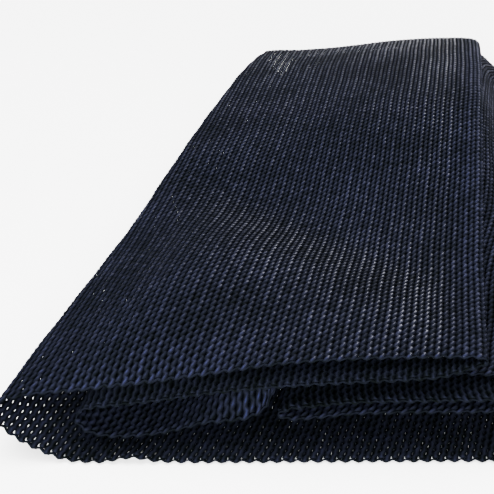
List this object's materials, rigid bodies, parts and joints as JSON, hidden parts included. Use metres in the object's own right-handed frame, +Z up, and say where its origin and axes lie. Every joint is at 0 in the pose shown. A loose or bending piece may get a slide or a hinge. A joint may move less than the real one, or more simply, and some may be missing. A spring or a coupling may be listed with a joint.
{
  "type": "window insect screen cloth, folded",
  "caption": "Folded length of dark navy warp-knit insect screen mesh, one sheet in six loose layers that lies flat on its bottom layer.",
  "frame": {"origin": "centre of the bounding box in plan, on the table under the bottom layer", "axes": "+Z up from the table, +Y away from the front cut edge along the run of the folds, +X to the right along the cut edge"},
  "size_m": [0.183, 0.2457, 0.0326],
  "materials": {
    "screen_mesh": "navy warp-knit polyester mesh, matt yarn with a soft bluish sheen"
  },
  "bodies": {
    "root": {"screen_cloth": "screen_mesh"}
  },
  "joints": []
}
